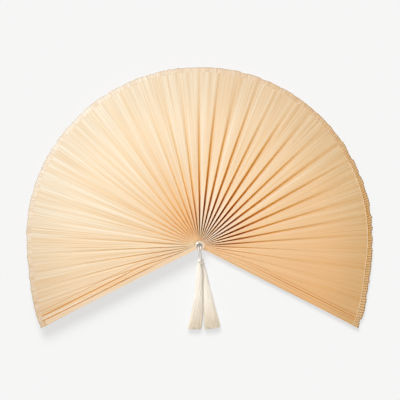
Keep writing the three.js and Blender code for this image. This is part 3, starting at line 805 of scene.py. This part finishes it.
# Rim binding: a cotton tape of the leaf's own colour, folded over its edge and overcast with a slanting
# thread. The splints under it end unevenly, so the rim has small jogs. Each pleat has its own length of both.
BINDING_THICKNESS = 0.15
BINDING_GAP = 0.05
BINDING_STEPS = 49
JOG = 0.35
JOG_WIDTHS = (0.6, 1.8)
JOG_COUNT = 210
JOG_LEAD = 3
JOG_SLOPE = 0.08
PLEAT_JOG = 0.5
JOG_ANGLES = (-25, 5, 50)
JOG_SCALES = (2.8, 2.2, 1.1)
STITCH_PITCH = 3.4
STITCH_SLANT = 0.45
STITCH_LEAD = 0.05
STITCH_SIDES = 5
STITCH_ANGLES = (20, 60)
STITCH_RADII = (0.34, 0.18)
# Where the stitches take their tone from the tape's map: by its shaded line at the right, off it elsewhere.
STITCH_PLACES = (6.9, 7.6)
STITCH_TURNS = np.array([0, 0.5, 0.9, 1, 1.1, 1.5, 2])
STITCH_REACHES = np.array([0.05, 0.5, 0.94, 1.02, 0.94, 0.5, 0.05])
STITCH_LEVELS = np.array([1, 1, 0.7, 0.5, 0.3, 0, 0])
STITCH_OFFS = np.array([1, 1, 0.6, 0, -0.6, -1, -1])
EDGE_THREAD_RADIUS = 0.35
EDGE_THREAD_SIDES = 6
EDGE_THREAD_END_ANGLE = 30
EDGE_THREAD_UV = (1, 0)
EDGE_PLACE = 6.2
EDGE_ROW = len(EDGE_SHARES) + 1

# Binding tape: a matt woven straw tone in two shades, even at the right, with a shaded line along the rim.
# The thread along its inner edge is paler. It has its place on the map beyond the arc of the rim. The weave is
# drawn coarser than a real one, so that it shows.
WEAVE_SIZES = (2.381, 33.33, 1000)
WEAVE_DEPTH = 0.4
RIGHT_TAPE_ARC = (220, 20)
EDGE_WIDTHS = (1.8, 0.6)
EDGE_STRENGTHS = (0.35, 0.8)
RIM_ARC_END = 900
tree = new_finish("binding_tape")
place = add_node(tree, "ShaderNodeUVMap", uv_map="UVMap")
arc, around, _ = add_node(tree, "ShaderNodeSeparateXYZ", [place]).outputs
weave_place = add_node(tree, "ShaderNodeVectorMath", [place, cells(WEAVE_SIZES)], operation="MULTIPLY")
weave = add_node(tree, "ShaderNodeTexNoise", {"Vector": weave_place, "Scale": 1, "Detail": 4})
tone = add_node(tree, "ShaderNodeMapRange", [weave, *NOISE_RANGE])
woven = add_node(tree, "ShaderNodeMix", {0: tone, 6: "#d2ae7c", 7: "#e4cca1"}, data_type="RGBA")
rightward = add_node(tree, "ShaderNodeMapRange", [arc, *metres(RIGHT_TAPE_ARC)])
evened = add_node(tree, "ShaderNodeMix", {0: rightward, 6: woven, 7: "#d8be92"}, data_type="RGBA")
off_edge = add_node(tree, "ShaderNodeMath", [around, EDGE_PLACE * MM], operation="SUBTRACT")
near_edge = add_node(tree, "ShaderNodeMath", [off_edge], operation="ABSOLUTE")
edge_share = add_node(tree, "ShaderNodeMapRange", [near_edge, *metres(EDGE_WIDTHS)])
edge_strength = add_node(tree, "ShaderNodeMapRange", [arc, *metres(RIGHT_TAPE_ARC), *EDGE_STRENGTHS])
edge_shade = add_node(tree, "ShaderNodeMath", [edge_share, edge_strength], operation="MULTIPLY")
edged = add_node(tree, "ShaderNodeMix", {0: edge_shade, 6: evened, 7: "#8a744c"}, data_type="RGBA")
beyond = add_node(tree, "ShaderNodeMath", [arc, RIM_ARC_END * MM], operation="GREATER_THAN")
threaded = add_node(tree, "ShaderNodeMix", {0: beyond, 6: edged, 7: "#f6e4c6"}, data_type="RGBA")
relief = add_node(tree, "ShaderNodeBump", {"Height": weave, "Strength": 0.5, "Distance": WEAVE_DEPTH * MM})
looks = {"Base Color": threaded, "Roughness": 0.85, "Normal": relief}
tape_face = add_node(tree, "ShaderNodeBsdfPrincipled", looks)
add_node(tree, "ShaderNodeOutputMaterial", {"Surface": tape_face})

jog_edges = np.cumsum(random.uniform(*JOG_WIDTHS, JOG_COUNT)) + OPEN_START - JOG_LEAD
jog_angles = np.stack([jog_edges - JOG_SLOPE / 2, jog_edges + JOG_SLOPE / 2], axis=-1).ravel()
jog_sizes = np.repeat(random.uniform(-JOG, JOG, JOG_COUNT + 1), 2)[1:-1]
pleat_jogs = random.uniform(-PLEAT_JOG, PLEAT_JOG, (2, STICK_COUNT))


def rim_edge(place):
    """The radius of the bound edge: the rim, a slant over each pleat and jogs where splints end unevenly."""
    angle = angle_at(place)
    stick = np.clip(np.round(place), 0, STICK_COUNT - 1).astype(int)
    slant = pleat_jogs[0, stick] + (pleat_jogs[1, stick] - pleat_jogs[0, stick]) * (place - stick + 0.5)
    jog = np.interp(angle, jog_angles, jog_sizes)
    ragged = (JOG + PLEAT_JOG + slant + jog) * np.interp(angle, JOG_ANGLES, JOG_SCALES)
    return rim_radius(angle) + BINDING_GAP + BINDING_THICKNESS + ragged


def binding_section(across):
    """The tape's section across a pleat: out beneath the leaf, round its edge, back over it, then inside."""
    angle = angle_at(across)
    inner = rim_radius(angle) - BINDING_WIDTH + BINDING_GAP
    fold = rim_radius(angle) + BINDING_GAP
    radii = [inner + (fold - inner) * share for share in (0, *EDGE_SHARES)]
    floors = [(radius, leaf_floor(across, radius)) for radius in radii]
    off = BINDING_THICKNESS + BINDING_GAP
    beneath = [(radius, floor - off) for radius, floor in floors]
    above = [(radius, floor + LEAF_THICKNESS + off) for radius, floor in floors[::-1]]
    over = [(radius, floor + LEAF_THICKNESS + BINDING_GAP) for radius, floor in floors]
    under = [(radius, floor - BINDING_GAP) for radius, floor in floors[::-1]]
    edge = rim_edge(across)
    middle = leaf_floor(across, fold) + LEAF_THICKNESS / 2
    turn = [(edge, middle - BINDING_THICKNESS / 2), (edge, middle + BINDING_THICKNESS / 2)]
    section = [*beneath, *turn, *above, *over, *under]
    return np.stack([turned_point(angle, radius, z) for radius, z in section])


def stitch_path(angle, slant, thread):
    """One overcast stitch of a thread's radius: slanting over the tape to the rim, and back beneath it.

    For each step along it there is a share of the slant, of the tape's width, of the leaf's thickness and of
    the distance off the leaf.
    """
    turn = angle + slant * STITCH_TURNS
    place = np.interp(turn, stick_angles, np.arange(STICK_COUNT))
    inner = rim_radius(turn) - BINDING_WIDTH
    radius = inner + (rim_edge(place) - inner) * STITCH_REACHES
    height = leaf_floor(place, radius) + STITCH_LEVELS * LEAF_THICKNESS
    return turned_point(turn, radius, height + STITCH_OFFS * (BINDING_GAP + BINDING_THICKNESS + thread / 2))


for stick in range(STICK_COUNT):
    across = pleat_places(stick, np.linspace(-1, 1, BINDING_STEPS))
    angles = angle_at(across)
    ring = binding_section(across)
    around = np.cumsum(np.linalg.norm(np.diff(ring, axis=0, prepend=ring[:1]), axis=-1), axis=0)
    around = around - around[EDGE_ROW] + EDGE_PLACE
    uv = np.stack(np.broadcast_arrays(np.radians(angles) * RIM, around), axis=-1).reshape(-1, 2) * MM
    faces = capped_faces(*ring.shape[:2])
    ring = ring.reshape(-1, 3)
    body = stick_bodies[stick]
    names = (body, "rim_binding")
    binding = add_piece(f"binding_{stick:02d}", ring, faces, "binding_tape", *names, uv, LEAF_CREASE)
    count = max(int(round(math.radians(angles[-1] - angles[0]) * RIM / STITCH_PITCH)), 2)
    slant = math.degrees(STITCH_PITCH / RIM) * STITCH_SLANT
    stitches = []
    for number in range(count):
        at = angles[0] + (angles[-1] - angles[0]) * (number + STITCH_LEAD) / count
        thread = np.interp(at, STITCH_ANGLES, STITCH_RADII)
        points, faces = tube(stitch_path(at, slant, thread), thread, STITCH_SIDES)
        tone = (math.radians(at) * RIM * MM, np.interp(at, STITCH_ANGLES, STITCH_PLACES) * MM)
        stitches.append((points, faces, np.tile(tone, (len(points), 1))))
    if angles[-1] < EDGE_THREAD_END_ANGLE:
        beside = rim_radius(angles) - BINDING_WIDTH + EDGE_THREAD_RADIUS
        height = leaf_floor(across, beside) + LEAF_THICKNESS + BINDING_GAP + BINDING_THICKNESS
        path = turned_point(angles, beside, height + EDGE_THREAD_RADIUS / 2)
        points, faces = tube(path, EDGE_THREAD_RADIUS, EDGE_THREAD_SIDES)
        stitches.append((points, faces, np.tile(EDGE_THREAD_UV, (len(points), 1))))
    points, faces, uv = joined(stitches)
    overcast = add_piece(f"overcast_{stick:02d}", points, faces, "binding_tape", body, None, uv, YARN_CREASE)
    narrow(binding)
    narrow(overcast)
    pleat, width, length, area = pleats[stick]

# Rivet: a hollow nickel-plated post with its front end rolled over a ring, and a washer at each end of the
# stack. Only the ring, the lip and the dark bore show from the front.
POST_RADIUS = 2.4
POST_BORE = 1.9
POST_FLOOR = 2
LIP_DROP = 0.25
LIP_ROUNDING = 0.07
RIVET_HEAD = 4.8
RIVET_HEAD_THICKNESS = 1
HEAD_ROUNDING = 0.15
PIN_HOLE = 0.001
RING_RADIUS = 4.9
RING_BORE = 2.45
RING_STEPS = 15
RING_FLATNESS = 0.8
TURNED_SIDES = 72

# Plated steel: a bright, slightly warm grey mirror, blurred unevenly where the plating is worn.
WEAR_SIZE = 1.429
WEAR_ROUGHNESS = (0.18, 0.4)
tree = new_finish("plated_steel")
within = add_node(tree, "ShaderNodeTexCoord").outputs["Object"]
wear = add_node(tree, "ShaderNodeTexNoise", {"Vector": within, "Scale": 1 / (WEAR_SIZE * MM), "Detail": 3})
blur = add_node(tree, "ShaderNodeMapRange", [wear, 0, 1, *WEAR_ROUGHNESS])
metal = add_node(tree, "ShaderNodeBsdfPrincipled", {"Base Color": "#cfccc6", "Metallic": 1, "Roughness": blur})
add_node(tree, "ShaderNodeOutputMaterial", {"Surface": metal})
for name in ("rear_washer", "front_washer"):
    dress(name, "plated_steel")


def turned_piece(name, profile, stands_for):
    """A round piece about the rivet's axis: a closed loop of radius and height pairs turned round."""
    turn = 360 * np.arange(TURNED_SIDES)[:, None] / TURNED_SIDES
    radius, height = np.asarray([*profile, profile[0]]).T
    points = turned_point(turn, radius[None, :] + 0 * turn, height[None, :])
    faces = grid_faces(TURNED_SIDES, len(radius), True)
    return add_piece(name, points.reshape(-1, 3), faces, "plated_steel", "rear_guard", stands_for)


ring_middle, ring_half = (RING_RADIUS + RING_BORE) / 2, (RING_RADIUS - RING_BORE) / 2
ring_height = RING_TOP - RING_FLOOR
rolled = [
    (ring_middle + ring_half * math.cos(turn), RING_FLOOR + ring_height * math.sin(turn) ** RING_FLATNESS)
    for turn in np.linspace(0, np.pi, RING_STEPS)
]
post = [
    (POST_BORE, POST_FLOOR),
    (POST_BORE, RING_TOP - LIP_DROP),
    (POST_BORE + LIP_ROUNDING, RING_TOP - LIP_ROUNDING),
    ((POST_BORE + POST_RADIUS) / 2, RING_TOP),
    (POST_RADIUS - LIP_ROUNDING, RING_TOP - LIP_ROUNDING),
    (POST_RADIUS, RING_TOP - LIP_DROP),
    (POST_RADIUS, RIVET_HEAD_THICKNESS),
    (RIVET_HEAD - HEAD_ROUNDING, RIVET_HEAD_THICKNESS),
    (RIVET_HEAD, RIVET_HEAD_THICKNESS - HEAD_ROUNDING),
    (RIVET_HEAD, HEAD_ROUNDING),
    (RIVET_HEAD - HEAD_ROUNDING, 0),
    (PIN_HOLE, 0),
    (PIN_HOLE, POST_FLOOR),
]
eyelet = [
    turned_piece("eyelet_ring", [(RING_RADIUS, RING_FLOOR), *rolled], "rivet_ring"),
    turned_piece("eyelet_post", post, "rivet_post"),
]

# What each lamp lights. The table has its own even light. The bamboo takes the cool window and the warm light
# of the room, and the white yarn and the metal take a paler pair of lamps from the same places. The window
# casts no shadow of the sticks and the rivet, which would leave a patch by the rivet.
pale_finishes = {finishes["cotton_yarn"], finishes["plated_steel"]}
pale_pieces = [
    piece for piece in bpy.data.objects if piece.type == "MESH" and {*piece.data.materials} & pale_finishes
]
stack = [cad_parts[name] for name in [*stick_names, "spacer", "rear_washer", "front_washer"]]
for name, lights, role, pieces, state in (
    ("table_only", [table_light], "receiver_collection", [table], "INCLUDE"),
    ("pale_only", [pale_window, pale_ceiling], "receiver_collection", pale_pieces, "INCLUDE"),
    ("bamboo_only", [window, room, ceiling], "receiver_collection", [table, *pale_pieces], "EXCLUDE"),
    ("stack", [window], "blocker_collection", [*stack, *eyelet], "EXCLUDE"),
):
    linked = bpy.data.collections.new(name)
    for piece in pieces:
        linked.objects.link(piece)
    for entry in linked.collection_objects:
        entry.light_linking.link_state = state
    for light in lights:
        setattr(light.light_linking, role, linked)
